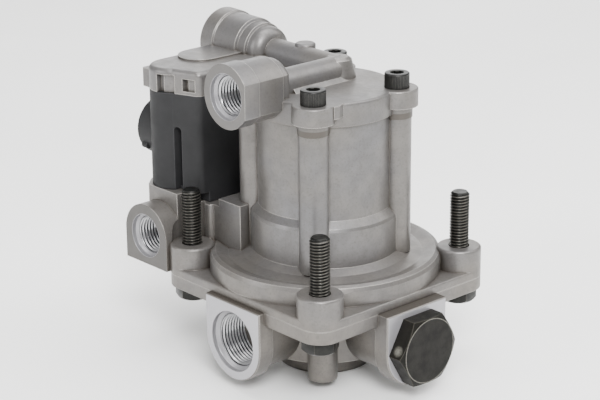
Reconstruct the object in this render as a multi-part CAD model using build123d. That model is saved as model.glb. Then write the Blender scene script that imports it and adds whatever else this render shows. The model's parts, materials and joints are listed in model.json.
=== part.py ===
from build123d import *
from math import cos, sin, tan, radians
import os

# Air brake relay valve with a solenoid module, in millimetres.
# Origin on the valve's axis, in the plane of the stud bosses' top faces. +Z points up the studs,
# -Y to the open supply port, +X to the plugged delivery port, -X to the solenoid module.

# Flange joint and its four bolts
stud_pitch = 77.0
flange_side = 95.2
joint_drop = 12.4
upper_flange = 3.4
lower_flange = 5.6
flange_round = 0.8
boss_diameter = 18.2
bolt_diameter = 8.0
bolt_shank_diameter = 7.2
bolt_hole_clearance = 0.25
bolt_head_flats = 13.0
bolt_head_height = 5.3
stud_length = 23.1
stud_tip_chamfer = 1.0

# Upper housing
rim_diameter = 94.4
rim_drop = 0.8
rim_round = 2.4
dish_drop = 2.2
dish_radius = 39.5
ring_diameter = 60.4
ring_foot = 0.6
ring_top = 15.4
shoulder_height = 3.9
cylinder_diameter = 54.4
cylinder_top = 57.9
control_bore = 45.2
relay_bore = 84.0
relay_roof_drop = 5.2
hub_room_diameter = 51.0
hub_room_top = 13.0
partition_thickness = 7.0

# Cap screws and their columns
screw_circle = 57.8
screw_turn = -6.5
screw_diameter = 6.0
screw_head_diameter = 10.0
screw_head_height = 6.0
screw_socket_flats = 5.0
screw_socket_depth = 3.0
screw_length = 30.0
screw_hole_clearance = 0.3
screw_head_clearance = 0.6
screw_head_room = 20.0
column_diameter = 11.9
column_drop = 2.3
collar_diameter = 12.6
lug_diameter = 17.0
lug_thickness = 7.2
lug_round = 0.6

# Cap with its two control ports and pipes
lid_diameter = 57.2
lid_thickness = 9.6
lid_round = 1.2
lid_spigot_depth = 2.9
lid_spigot_wall = 4.0
lid_recess_diameter = 37.0
lid_recess_rise = 5.1
tab_height = 5.2
pipe_radius = 5.6
pipe_rise = 3.2
front_pipe_x = -4.2
side_pipe_y = 11.5
side_port_face = 75.7
port_boss_radius = 12.9
port_flat = 11.1
port_flat_drop = 7.1
port_corner_angle = 41.6
port_collar = 7.7
port_barrel = 12.7
port_shoulder = 5.0
side_boss_radius = 13.3
side_boss_face = 7.4
side_boss_barrel_radius = 12.4
side_boss_barrel = 21.0
side_boss_step_radius = 10.9
side_boss_step = 26.0
side_boss_neck_radius = 9.9
side_boss_neck = 28.6
side_boss_length = 33.0
pipe_foot_round = 1.6
junction_radius = 7.4
bump_radius = 4.3
bump_x = -26.0
bump_offset = 2.0
bridge_front = -9.0
bridge_back = 20.0
bridge_overlap = 5.0
drilling_radius = 3.5

# Threaded ports, drawn plain at their nominal size
small_thread = 16.0
large_thread = 22.0
small_thread_depth = 14.0
large_thread_depth = 15.0
small_mouth_diameter = 18.4
large_mouth_diameter = 25.0
mouth_depth = 1.8
port_edge_chamfer = 0.5

# Lower housing
block_half_width = 16.3
block_neck_half_width = 14.0
block_front_depth = 7.2
supply_face = 50.4
delivery_face = 53.0
port_axis_drop = 28.5
body_radius = 30.0
body_drop = 40.0
drum_radius = 20.0
drum_drop = 49.2
floor_drop = 15.2
gallery_outer_radius = 26.4
gallery_drop = 36.5
cup_outer_radius = 19.2
guide_bore_radius = 15.5
inlet_seat_drop = 24.0
inlet_seat_radius = 10.5
cup_roof = 3.4
seat_lip = 0.6
post_radius = 6.0
post_distance = 31.8
post_drop = 45.4
supply_passage_radius = 6.4
delivery_passage_radius = 8.5

# Pistons and valve
piston_side_clearance = 0.35
running_clearance = 0.06
rest_gap = 0.3
piston_stroke = 4.0
valve_stroke = 2.5
relay_rim_thickness = 5.0
relay_web_thickness = 3.2
relay_hub_radius = 9.2
relay_hub_bore = 7.2
stem_radius = 7.0
stem_top = 27.0
control_piston_gap = 3.9
control_piston_height = 8.0
control_piston_skirt = 4.0
control_piston_pocket = 3.0
control_hub_radius = 7.5
valve_tube_radius = 8.0
valve_tube_bore = 6.3
valve_tube_drop = 40.8
valve_plate_radius = 13.0
valve_plate_thickness = 1.9
valve_rubber_thickness = 1.9
seat_gap = 0.1
guide_top_drop = 36.2
guide_bottom_drop = 46.0
guide_fit_clearance = 0.05
spider_thickness = 2.2
clip_thickness = 1.2
clip_inner_radius = 13.4
clip_groove_depth = 1.1
flap_radius = 10.8
flap_thickness = 1.2
flap_stem_radius = 2.0

# Seals
seal_section = 2.4
small_seal_section = 1.8
groove_slack = 0.1
seal_clearance = 0.04
gasket_width = 1.0
gasket_height = 1.2
gasket_inset = 0.4

# Springs
return_wire = 1.8
return_spring_radius = 12.5
valve_wire = 1.2
valve_spring_radius = 10.6
armature_wire = 0.6
armature_spring_radius = 2.6

# Solenoid module
tower_x = -59.5
tower_y = -28.5
tower_radius = 10.5
module_right = -40.0
module_front_right = -31.5
module_back = 24.0
module_foot = 18.8
module_rise = 2.1
module_wall = 2.4
cover_height = 10.0
cover_wall = 3.2
cover_round = 2.0
land_y = -7.0
land_length = 14.0
land_width = 18.5
land_rise = 0.9
cover_lug_reach = 4.2
cover_lug_height = 7.8
cover_lug_drop = 1.4
panel_depth = 1.2
slot_depth = 2.4
groove_left = -51.9
groove_width = 3.4
groove_top = 46.0
groove_depth = 4.0
tray_front = -39.2
tray_left = -71.0
tray_floor = 3.0
tray_base = -6.0
tray_shelf = 17.6
tray_middle = 14.4
tray_middle_end = -33.5
tray_right = -20.0
nozzle_seat_depth = 3.0
stud_relief_radius = 8.4
rib_radius = 2.4
connector_y = -24.5
connector_z = 40.0
connector_radius = 12.3
connector_bore = 10.0
connector_reach = 75.0
connector_depth = 9.0
connector_floor = 1.4
skirt_width = 6.5
skirt_front = 3.9
skirt_back = 6.0
pin_radius = 0.8
pin_length = 5.0
pin_circle = 9.0
side_port_x = -57.8
side_port_barrel = 5.9
side_port_radius = 13.5
side_port_depth = 12.0

# Solenoids
solenoid_x = -54.5
solenoid_front_y = -22.0
solenoid_pitch = 30.0
bobbin_radius = 8.6
bobbin_height = 30.0
bobbin_flange = 1.6
bobbin_core_radius = 5.8
tube_radius = 4.8
tube_wall = 0.4
armature_radius = 4.3
armature_height = 24.0
armature_stroke = 0.8
spring_pocket = 6.0
yoke_thickness = 1.5
yoke_half_width = 7.5
core_head_height = 1.5
core_head_overhang = 1.6
nozzle_radius = 4.0
nozzle_height = 5.0
nozzle_step = 0.8
nozzle_bore = 1.2

# Plug
plug_flats = 27.0
plug_head = 7.0
plug_shank = 11.0
plug_recess = 6.0
plug_wall = 3.2
plug_seal_section = 2.2
plug_seal_reach = 11.9
thread_slack = 0.06

half_pitch = stud_pitch / 2
front_port_face = flange_side / 2
seat_height = cylinder_top + lid_thickness
lug_foot = seat_height - lug_thickness
column_top = cylinder_top - column_drop
lid_recess_top = cylinder_top + lid_recess_rise
pipe_height = seat_height + pipe_rise
module_top = cylinder_top + module_rise
cover_top = module_top + cover_height
control_piston_top = cylinder_top - control_piston_gap
joint_z = -joint_drop
flange_corner = flange_side / 2 - half_pitch
upper_flange_top = joint_z + upper_flange
lower_flange_foot = joint_z - lower_flange
port_z = -port_axis_drop
bolt_radius = bolt_diameter / 2
ring_radius = ring_diameter / 2
cylinder_radius = cylinder_diameter / 2
rim_radius = rim_diameter / 2
screw_radius = screw_diameter / 2
partition_top = hub_room_top + partition_thickness
relay_top = -relay_roof_drop - rest_gap
relay_seal_z = relay_top - relay_rim_thickness / 2
housing_seal_reach = relay_bore / 2 + 1.5 * seal_section
housing_seal_z = joint_z - seal_section / 2
control_piston_seal_z = control_piston_top - 3.4
seat_z = -inlet_seat_drop
clip_z = -guide_bottom_drop - clip_thickness
guide_seal_z = -guide_top_drop - 2.0
stem_seal_z = partition_top - partition_thickness / 2
cap_seal_z = cylinder_top - 1.6
bobbin_foot = module_foot + module_wall
bobbin_head = bobbin_foot + bobbin_height
armature_foot = tray_floor + nozzle_height + rest_gap
armature_head = armature_foot + armature_height
core_foot = armature_head + armature_stroke + rest_gap
skirt_left = module_right - skirt_width

STUDS = [(sx * half_pitch, sy * half_pitch) for sx, sy in ((1, -1), (1, 1), (-1, 1), (-1, -1))]
screw_angles = [k * 90 - 45 + screw_turn for k in range(4)]
SCREWS = [(screw_circle / 2 * cos(radians(a)), screw_circle / 2 * sin(radians(a))) for a in screw_angles]

BASE = (Align.CENTER, Align.CENTER, Align.MIN)


def upright(radius, low, high, x=0, y=0):
    return Pos(x, y, low) * Cylinder(radius, high - low, align=BASE)


def along_x(radius, start, end, y, z):
    return Pos(start, y, z) * Rot(0, 90, 0) * Cylinder(radius, end - start, align=BASE)


def along_y(radius, start, end, x, z):
    return Pos(x, start, z) * Rot(-90, 0, 0) * Cylinder(radius, end - start, align=BASE)


def block(x0, x1, y0, y1, z0, z1):
    return Pos((x0 + x1) / 2, (y0 + y1) / 2, (z0 + z1) / 2) * Box(x1 - x0, y1 - y0, z1 - z0)


def turned(points):
    """Solid of revolution about Z from (radius, height) points."""
    profile = make_face(Polyline(*[(r, 0, z) for r, z in points], close=True))
    return revolve(profile, Axis.Z)


def outer_seal(reach, section, z):
    """Seal ring in a groove that opens outwards; reach is its outer radius."""
    thick = section - groove_slack
    return Pos(0, 0, z) * Torus(reach - thick / 2, thick / 2)


def inner_seal(bore, section, z):
    """Seal ring in a groove that opens inwards; bore is its inner radius."""
    thick = section - groove_slack
    return Pos(0, 0, z) * Torus(bore + thick / 2, thick / 2)


def ring_room(inner, outer, low, high):
    return upright(outer, low, high) - upright(inner, low - 1, high + 1)


def outer_groove(reach, section, z):
    """Square-cut groove for outer_seal, cut past the surface that it opens on."""
    return ring_room(reach - section, reach + 1, z - section / 2, z + section / 2)


def inner_groove(bore, section, z):
    return ring_room(bore - 0.5, bore + section, z - section / 2, z + section / 2)


def spring(mean_radius, wire, low, high, turns, x=0, y=0):
    rise = high - low - wire
    path = Pos(x, y, low + wire / 2) * Helix(rise / turns, rise, mean_radius)
    start = Plane(origin=path @ 0, z_dir=path % 0)
    return sweep(start * RegularPolygon(wire / 2, 8), path, is_frenet=True)


def port_cutter(nominal, depth, mouth, through, reach):
    """Port with its mouth at the origin and its way in along +Z."""
    thread = nominal / 2
    cone = (mouth / 2 - thread) * 0.8
    room = turned([(0, -1), (mouth / 2, -1), (mouth / 2, mouth_depth), (thread, mouth_depth + cone),
                   (thread, depth), (through, depth + thread - through), (through, reach), (0, reach)])
    return room


def to_plus_y(x, y, z):
    return Pos(x, y, z) * Rot(-90, 0, 0)


def to_minus_x(x, y, z):
    return Pos(x, y, z) * Rot(0, -90, 0)


def to_plus_x(x, y, z):
    return Pos(x, y, z) * Rot(0, 90, 0)


def square_plate(low, high, rounded):
    """Flange plate; rounded picks the edge loop that is rounded, 0 the lower and -1 the upper one."""
    plan = RectangleRounded(flange_side, flange_side, flange_corner)
    plate = Pos(0, 0, low) * extrude(plan, high - low)
    return fillet(plate.edges().group_by(Axis.Z)[rounded], flange_round)


def module_plan():
    """Plan of the solenoid module: a tower at the front left, a slanted front and a straight back."""
    turn = radians(45)
    joint = (tower_x + tower_radius * sin(turn), tower_y - tower_radius * cos(turn))
    left = tower_x - tower_radius
    front = (tower_x, tower_y - tower_radius)
    mid = (tower_x + tower_radius * sin(turn / 2), tower_y - tower_radius * cos(turn / 2))
    outline = [
        ThreePointArc((left, tower_y), (tower_x - tower_radius * sin(turn), joint[1]), front),
        ThreePointArc(front, mid, joint),
        Polyline(joint, (module_right, module_front_right), (module_right, module_back),
                 (left, module_back), (left, tower_y)),
    ]
    plan = make_face(outline)
    corners = [v for v in plan.vertices() if v.X > module_right - 1 or v.Y > module_back - 1]
    return fillet(corners, 3.0)


def tray_plan():
    front_left = tower_x - tower_radius * 0.6
    wall_y = module_front_right + 3.3
    plan = make_face(Polyline(
        (front_left, tray_front), (-half_pitch - stud_relief_radius, tray_front), (module_right - 3, wall_y),
        (tray_right, wall_y), (tray_right, module_back + 1), (tray_left, module_back + 1),
        (tray_left, tower_y - 5), close=True))
    corners = [v for v in plan.vertices() if v.X < module_right - 10]
    return fillet(corners, 1.6)


def room_plan():
    """Plan of the solenoids' room inside the module."""
    hollow = offset(module_plan(), -module_wall)
    front = solenoid_front_y - bobbin_radius - 1.2
    middle = Pos((tower_x - 20 + module_right + 5) / 2, (front + module_back + 1) / 2)
    return hollow & middle * Rectangle(module_right - tower_x + 25, module_back + 1 - front)


def lower_room_plan():
    """The same room left of the skirt, where the module's foot stands on the tray."""
    right = skirt_left - 2.2
    return room_plan() & Pos(right - 20, 0) * Rectangle(40, 100)


def gasket(plan, low, high):
    ring = offset(plan, gasket_inset + gasket_width) - offset(plan, gasket_inset)
    return Pos(0, 0, low) * extrude(ring, high - low)


def module_lower_seal():
    return gasket(lower_room_plan(), module_foot, module_foot + gasket_height)


def module_upper_seal():
    return gasket(room_plan(), module_top - gasket_height, module_top)


def upper_profile():
    """Outer half-section of the round body: rim, dish, base ring, shoulder and cylinder."""
    crest = -rim_drop
    return [(0, joint_z), (rim_radius, joint_z), (rim_radius, crest - rim_round),
            (rim_radius - 0.7, crest - 0.7), (rim_radius - rim_round, crest), (rim_radius - 4, crest - 0.3),
            (dish_radius, -dish_drop), (ring_radius + 4, -dish_drop + 0.9), (ring_radius, ring_foot),
            (ring_radius, ring_top), (ring_radius - 0.5, ring_top + 1.3),
            (cylinder_radius, ring_top + shoulder_height), (cylinder_radius, cylinder_top), (0, cylinder_top)]


def side_port_barrel_solid():
    half_width = side_port_radius - 0.1
    length = side_port_barrel + 3
    front = -flange_side / 2
    barrel = along_y(side_port_radius, front, front + length, side_port_x, 0)
    skirt = block(side_port_x - half_width, side_port_x + half_width, front, front + length, joint_z, 0)
    keep = block(side_port_x - half_width, side_port_x + half_width, front, front + length, joint_z,
                 side_port_radius)
    return (barrel & keep) + skirt


def upper_housing():
    body = turned(upper_profile()) + square_plate(joint_z, upper_flange_top, -1)
    for x, y in STUDS:
        boss = upright(boss_diameter / 2, joint_z, 0, x, y)
        body += fillet(boss.edges().group_by(Axis.Z)[-1], 1.0)
    for x, y in SCREWS:
        body += upright(column_diameter / 2, -rim_drop, column_top, x, y)
    tray = Pos(0, 0, tray_base) * extrude(tray_plan(), module_foot - tray_base)
    back = module_back - skirt_back
    tray -= block(skirt_left, tray_middle_end, tray_front, back, tray_middle, module_foot + 1)
    tray -= block(tray_middle_end, tray_right, tray_front, module_back + 2, tray_shelf, module_foot + 1)
    corner = upright(rib_radius, tray_base, tray_middle, module_right + 1, module_front_right + 3.6)
    body += tray + corner + side_port_barrel_solid()
    body += block(side_port_x - 10, side_port_x + 10, tray_front, tray_front + 16, joint_z, tray_base)
    for x, y in STUDS:
        if x < 0 and y < 0:
            body -= upright(stud_relief_radius, 0, module_foot + 1, x, y)

    body -= upright(control_bore / 2, partition_top, cylinder_top + 1)
    body -= upright(relay_bore / 2, joint_z - 1, -relay_roof_drop)
    body -= upright(hub_room_diameter / 2, -relay_roof_drop - 1, hub_room_top)
    body -= upright(stem_radius + running_clearance, hub_room_top - 1, partition_top + 1)
    body -= inner_groove(stem_radius + seal_clearance, small_seal_section, stem_seal_z)
    for x, y in STUDS:
        body -= upright(bolt_radius + bolt_hole_clearance, joint_z - 1, 1, x, y)
    for x, y in SCREWS:
        body -= upright(screw_radius + thread_slack, seat_height - screw_length - 2, cylinder_top + 1, x, y)
    pocket = offset(module_plan(), -cover_wall - 1.2)
    body -= Pos(0, 0, tray_floor) * extrude(pocket, module_foot - tray_floor + 2)
    side_port = port_cutter(small_thread, side_port_depth, small_mouth_diameter, drilling_radius, 20)
    body -= to_plus_y(side_port_x, -flange_side / 2, 0) * side_port
    rise = -flange_side / 2 + 20 - drilling_radius
    body -= upright(drilling_radius, 0, tray_floor + 1, side_port_x, rise)
    for x, y in solenoid_places():
        body -= upright(nozzle_radius - nozzle_step, tray_floor - nozzle_seat_depth, tray_floor + 1, x, y)
    return body


def housing_seal():
    return outer_seal(housing_seal_reach, seal_section, housing_seal_z)


def port_block(face, half_width, length):
    """Port block with its face at -Y: flat on top at the joint, round below the port's axis."""
    barrel = along_y(half_width, -face, -face + length, 0, port_z)
    below_joint = block(-half_width, half_width, -face, -face + length, port_z - half_width, joint_z)
    top = block(-half_width, half_width, -face, -face + length, port_z, joint_z)
    return (barrel & below_joint) + top


def port_arm(face):
    front = port_block(face, block_half_width, block_front_depth)
    front = chamfer(front.edges().group_by(Axis.Y)[0], port_edge_chamfer)
    return front + port_block(face - 1, block_neck_half_width, face - 13)


def lower_housing():
    supply = port_arm(supply_face)
    right = Rot(0, 0, 90) * port_arm(delivery_face)
    left = Rot(0, 0, -90) * port_arm(delivery_face)
    body = square_plate(lower_flange_foot, joint_z, 0) + upright(body_radius, -body_drop, joint_z)
    drum = upright(drum_radius, -drum_drop, joint_z)
    body += fillet(drum.edges().group_by(Axis.Z)[0], 1.2)
    turn = radians(-45)
    post = upright(post_radius, -post_drop, joint_z, post_distance * cos(turn), post_distance * sin(turn))
    body += fillet(post.edges().group_by(Axis.Z)[0], 1.0)
    body += supply + right + left

    body -= upright(relay_bore / 2, -floor_drop, joint_z + 1)
    gallery = upright(gallery_outer_radius, -gallery_drop, -floor_drop + 1)
    gallery -= upright(cup_outer_radius, -gallery_drop - 1, seat_z + cup_roof)
    duct = along_y(supply_passage_radius + 2.8, -gallery_outer_radius - 1, -guide_bore_radius, 0, port_z)
    body -= gallery - duct
    body -= upright(guide_bore_radius, -drum_drop - 1, seat_z + seat_lip)
    body -= upright(inlet_seat_radius, seat_z - 1, seat_z + cup_roof + 1)
    body += lifted_seat()

    supply_port = large_port(supply_passage_radius, supply_face - guide_bore_radius + 2)
    delivery_port = large_port(delivery_passage_radius, delivery_face - gallery_outer_radius + 2)
    body -= to_plus_y(0, -supply_face, port_z) * supply_port
    body -= to_minus_x(delivery_face, 0, port_z) * delivery_port
    body -= to_plus_x(-delivery_face, 0, port_z) * delivery_port
    for x, y in STUDS:
        body -= upright(bolt_radius + bolt_hole_clearance, lower_flange_foot - 1, joint_z + 1, x, y)
    seal_foot = joint_z - seal_section
    body -= ring_room(housing_seal_reach - seal_section, housing_seal_reach, seal_foot, joint_z + 1)
    clip_radius = guide_bore_radius + clip_groove_depth
    body -= upright(clip_radius, clip_z - groove_slack, clip_z + clip_thickness + groove_slack)
    return body


def large_port(through, reach):
    return port_cutter(large_thread, large_thread_depth, large_mouth_diameter, through, reach)


def control_port(reach):
    return port_cutter(small_thread, small_thread_depth, small_mouth_diameter, drilling_radius, reach)


def lifted_seat():
    """Narrow raised ring round the inlet opening, on which the rubber disc closes."""
    foot = seat_z + seat_lip + 0.3
    return turned([(inlet_seat_radius, foot), (inlet_seat_radius, seat_z), (inlet_seat_radius + 1.0, seat_z),
                   (inlet_seat_radius + 1.8, foot)])


def front_boss_plan(inset):
    """Circle with a flat at +X and a slanted corner under it; +Y of this plan points down on the valve."""
    radius = port_boss_radius - inset
    flat = port_flat - inset
    rise = radius - port_flat_drop + 1
    slanted_end = (flat - rise / tan(radians(port_corner_angle)), port_flat_drop + rise)
    keep = make_face(Polyline((-radius - 1, -radius - 1), (flat, -radius - 1), (flat, port_flat_drop),
                              slanted_end, (-radius - 1, port_flat_drop + rise), close=True))
    corner = Pos(flat / 2, port_flat_drop / 2 + 1) * Rectangle(flat, port_flat_drop + 2)
    return (Circle(radius) + corner) & keep


def front_boss():
    """Boss of the front control port, mouth at the origin, running in along +Z."""
    end = port_collar + port_barrel
    collar = extrude(front_boss_plan(0), port_collar)
    barrel = extrude(front_boss_plan(0.6), end)
    shoulder = Pos(0, 0, end - 1) * extrude(front_boss_plan(1.6), port_shoulder + 1)
    return collar + barrel + fillet(shoulder.edges().group_by(Axis.Z)[-1], 2.5)


def side_boss():
    """Boss of the side control port, mouth at the origin: stepped down and rounded onto its pipe."""
    wide = side_boss_radius
    barrel = side_boss_barrel_radius
    step = side_boss_step_radius
    neck = side_boss_neck_radius
    end = side_boss_length
    outline = Polyline((0, 0, 0), (wide - 0.3, 0, 0), (wide, 0, 0.3), (wide - 0.2, 0, side_boss_face),
                       (barrel, 0, side_boss_face + 0.5), (barrel - 0.3, 0, side_boss_barrel),
                       (step, 0, side_boss_barrel + 0.6), (step, 0, side_boss_step),
                       (neck, 0, side_boss_step + 0.5), (neck, 0, side_boss_neck))
    shoulder = ThreePointArc((neck, 0, side_boss_neck), (neck - 1.3, 0, (side_boss_neck + end) / 2 + 0.9),
                             (pipe_radius - 1, 0, end))
    rest = Polyline((pipe_radius - 1, 0, end), (0, 0, end), (0, 0, 0))
    return revolve(make_face(outline + shoulder + rest), Axis.Z)


def front_pipe():
    start = -front_port_face + port_collar
    ridge = along_y(pipe_radius, start, side_pipe_y, front_pipe_x, pipe_height)
    front = -cylinder_radius * 0.8
    left = front_pipe_x - pipe_radius
    right = front_pipe_x + pipe_radius
    web = block(left, right, front, side_pipe_y, seat_height - 2, pipe_height)
    return ridge + web + pipe_foot(left, right, front + 4, side_pipe_y)


def side_pipe():
    start = -side_port_face + 20
    ridge = along_x(pipe_radius, start, front_pipe_x, side_pipe_y, pipe_height)
    web = block(module_right - 4, front_pipe_x, side_pipe_y - pipe_radius, side_pipe_y + pipe_radius,
                seat_height - 6, pipe_height)
    return ridge + web


def pipe_foot(x0, x1, y0, y1):
    """Small slopes where the front pipe's sides meet the lid."""
    foot = pipe_foot_round
    low = seat_height - 1
    outline = Polyline((x0 - foot, low), (x0 - foot, seat_height), (x0, seat_height + foot),
                       (x1, seat_height + foot), (x1 + foot, seat_height), (x1 + foot, low), close=True)
    return Pos(0, y1, 0) * extrude(Plane.XZ * make_face(outline), y1 - y0)


def junction():
    """Tapered dome where the two pipes meet over the chamber."""
    top = pipe_height + pipe_radius
    foot = seat_height - 2
    return turned([(0, foot), (junction_radius, foot), (junction_radius - 0.5, foot + 3.5),
                   (junction_radius - 2.0, top - 1.2), (junction_radius - 3.4, top - 0.2), (0, top - 0.2)])


def lid_lug(x, y):
    lug = upright(lug_diameter / 2, lug_foot, seat_height, x, y)
    collar = upright(collar_diameter / 2, column_top, lug_foot, x, y)
    return fillet(lug.edges().group_by(Axis.Z)[-1], lug_round) + collar


def lid_tab():
    """Small flat tab on the lid's rim, right of the front lug."""
    outline = Polyline((18.0, -19.4), (26.2, -19.4), (26.6, -17.0), (25.2, -13.5), (18.0, -13.5), close=True)
    return Pos(0, 0, seat_height - tab_height) * extrude(make_face(outline), tab_height)


def front_recess(x0, x1, low, high, depth):
    """Recess of even depth in the cover's front wall."""
    strip = module_plan() - offset(module_plan(), -depth)
    strip &= Pos((x0 + x1) / 2, tower_y - tower_radius / 2) * Rectangle(x1 - x0, tower_radius + 4)
    return Pos(0, 0, low) * extrude(strip, high - low)


def module_cover():
    """Cover over the solenoid module, with a raised land on top and recesses in its front wall."""
    shell = Pos(0, 0, module_top) * extrude(module_plan(), cover_top - module_top)
    shell = fillet(shell.edges().group_by(Axis.Z)[-1], cover_round)
    land = SlotCenterToCenter(land_length, land_width, rotation=90)
    shell += Pos(tower_x - 1, land_y, cover_top - 1) * extrude(land, land_rise + 1)
    pocket = offset(module_plan(), -cover_wall)
    shell -= Pos(0, 0, module_top - 1) * extrude(pocket, cover_top - cover_wall - module_top + 1)
    recess_top = cover_top - cover_round - 0.4
    shell -= front_recess(-58.2, -51.0, module_top - 1, recess_top, panel_depth)
    shell -= front_recess(-58.2, -55.8, module_top - 1, recess_top - 0.3, slot_depth)
    shell -= front_recess(-47.5, module_right - 2, module_top + 1.5, recess_top - 1, panel_depth)
    shell -= front_recess(-47.5, -45.8, module_top + 1.5, recess_top - 1, slot_depth)
    left = tower_x - tower_radius
    foot = module_top - cover_lug_drop
    lug = block(left - cover_lug_reach, left + 3, tower_y - 5.6, tower_y + 5, foot, foot + cover_lug_height)
    return shell + fillet(lug.edges().filter_by(Axis.Z), 1.0)


def cap():
    body = upright(lid_diameter / 2, cylinder_top, seat_height)
    body = fillet(body.edges().group_by(Axis.Z)[-1], lid_round) + lid_tab()
    for x, y in SCREWS:
        body += lid_lug(x, y)
    side = Pos(0, 0, module_foot) * extrude(module_plan(), module_top - module_foot)
    body += module_cover() - side
    body += block(module_right - bridge_overlap, -lid_recess_diameter / 2, bridge_front, bridge_back,
                  module_top + 1, seat_height)
    body += to_plus_y(front_pipe_x, -front_port_face, pipe_height) * front_boss()
    body += to_plus_x(-side_port_face, side_pipe_y, pipe_height) * side_boss() - side
    body += front_pipe() + side_pipe() + Pos(front_pipe_x, side_pipe_y, 0) * junction()
    bump_top = pipe_height + pipe_radius + 1.0
    bump = upright(bump_radius, pipe_height, bump_top, bump_x, side_pipe_y + bump_offset)
    body += fillet(bump.edges().group_by(Axis.Z)[-1], 1.0)

    body -= upright(cylinder_radius + 0.1, column_top - 1, cylinder_top)
    foot = cylinder_top - lid_spigot_depth
    spigot = upright(control_bore / 2 - 0.1, foot, cylinder_top)
    body += spigot - upright(control_bore / 2 - lid_spigot_wall, foot - 1, cylinder_top + 1)
    body -= upright(lid_recess_diameter / 2, cylinder_top - 1, lid_recess_top)
    body -= outer_groove(control_bore / 2 - seal_clearance, small_seal_section, cap_seal_z)
    for x, y in SCREWS:
        body -= upright(screw_radius + screw_hole_clearance, column_top - 1, seat_height + 1, x, y)
        head_room = screw_head_diameter / 2 + screw_head_clearance
        body -= upright(head_room, seat_height, seat_height + screw_head_room, x, y)
    front_reach = front_port_face + side_pipe_y
    side_reach = side_port_face + front_pipe_x
    body -= to_plus_y(front_pipe_x, -front_port_face, pipe_height) * control_port(front_reach)
    body -= to_plus_x(-side_port_face, side_pipe_y, pipe_height) * control_port(side_reach)
    body -= upright(drilling_radius, lid_recess_top - 1, pipe_height, front_pipe_x, side_pipe_y)
    return body


def cap_seal():
    return outer_seal(control_bore / 2 - seal_clearance, small_seal_section, cap_seal_z)


def control_piston():
    radius = control_bore / 2 - piston_side_clearance
    top = control_piston_top
    foot = top - control_piston_height
    web = foot + control_piston_pocket
    inner = radius - control_piston_skirt
    dish = turned([(0, web), (inner, web), (inner, foot), (radius, foot), (radius, top - 0.6),
                   (radius - 0.6, top), (0, top)])
    hub = upright(control_hub_radius, stem_top + rest_gap, web + 1)
    body = dish + hub
    return body - outer_groove(control_bore / 2 - seal_clearance, seal_section, control_piston_seal_z)


def control_piston_seal():
    return outer_seal(control_bore / 2 - seal_clearance, seal_section, control_piston_seal_z)


def relay_piston():
    radius = relay_bore / 2 - piston_side_clearance
    rim_foot = relay_top - relay_rim_thickness
    web_foot = relay_top - relay_web_thickness
    hub_foot = seat_z + piston_stroke - valve_stroke + rest_gap - seat_gap
    body = turned([(stem_radius, relay_top), (radius, relay_top), (radius, rim_foot), (radius - 4, rim_foot),
                   (radius - 5, web_foot), (relay_hub_radius + 3, web_foot), (relay_hub_radius, web_foot - 2),
                   (relay_hub_radius, hub_foot + 0.6), (relay_hub_radius - 0.6, hub_foot),
                   (relay_hub_bore, hub_foot), (relay_hub_bore, web_foot), (0, web_foot),
                   (0, stem_top), (stem_radius - 0.5, stem_top), (stem_radius, stem_top - 0.5)])
    return body - outer_groove(relay_bore / 2 - seal_clearance, seal_section, relay_seal_z)


def relay_piston_seal():
    return outer_seal(relay_bore / 2 - seal_clearance, seal_section, relay_seal_z)


def relay_stem_seal():
    return inner_seal(stem_radius + seal_clearance, small_seal_section, stem_seal_z)


def return_spring():
    foot = partition_top
    head = control_piston_top - control_piston_height + control_piston_pocket
    return spring(return_spring_radius, return_wire, foot, head, 4.5)


def inlet_valve():
    top = seat_z - seat_gap - valve_rubber_thickness
    foot = -valve_tube_drop
    plate_foot = top - valve_plate_thickness
    return turned([(valve_tube_bore, top), (valve_plate_radius, top), (valve_plate_radius, plate_foot),
                   (valve_tube_radius, plate_foot), (valve_tube_radius, foot + 0.5),
                   (valve_tube_radius - 0.5, foot), (valve_tube_bore, foot)])


def valve_disc():
    top = seat_z - seat_gap
    foot = top - valve_rubber_thickness
    outer = valve_plate_radius + 0.4
    return turned([(valve_tube_bore, foot), (outer, foot), (outer, top - 0.4), (outer - 0.4, top),
                   (valve_tube_bore, top)])


def valve_spring():
    head = seat_z - seat_gap - valve_rubber_thickness - valve_plate_thickness
    return spring(valve_spring_radius, valve_wire, -guide_top_drop, head, 3.0)


def valve_guide():
    """Guide of the valve tube: a bushing with a spider across its foot that carries the exhaust flap."""
    outer = guide_bore_radius - guide_fit_clearance
    inner = valve_tube_radius + running_clearance
    body = upright(outer, -guide_bottom_drop, -guide_top_drop)
    body -= upright(inner, -guide_bottom_drop + spider_thickness, -guide_top_drop + 1)
    spider = upright(inner, -guide_bottom_drop, -guide_bottom_drop + spider_thickness)
    windows = spider - upright(flap_stem_radius + 1.6, -guide_bottom_drop - 1, 0)
    for k in range(3):
        windows -= Rot(0, 0, k * 120) * block(0, inner, -1.1, 1.1, -guide_bottom_drop - 1, 0)
    body -= windows
    body -= upright(flap_stem_radius, -guide_bottom_drop - 1, 0)
    body -= outer_groove(guide_bore_radius - seal_clearance, small_seal_section, guide_seal_z)
    return body - inner_groove(valve_tube_radius + seal_clearance, small_seal_section, guide_seal_z)


def guide_seal():
    return outer_seal(guide_bore_radius - seal_clearance, small_seal_section, guide_seal_z)


def valve_tube_seal():
    return inner_seal(valve_tube_radius + seal_clearance, small_seal_section, guide_seal_z)


def retaining_ring():
    top = clip_z + clip_thickness
    ear_y = clip_inner_radius - 0.6
    ring = upright(guide_bore_radius + clip_groove_depth - 0.2, clip_z, top)
    ring -= upright(clip_inner_radius, clip_z - 1, top + 1)
    for x in (-3.6, 3.6):
        ring += upright(2.0, clip_z, top, x, ear_y) - upright(0.7, clip_z - 1, top + 1, x, ear_y)
    gap = block(-1.6, 1.6, 0, guide_bore_radius + 3, clip_z - 1, top + 1)
    return ring - gap


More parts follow.
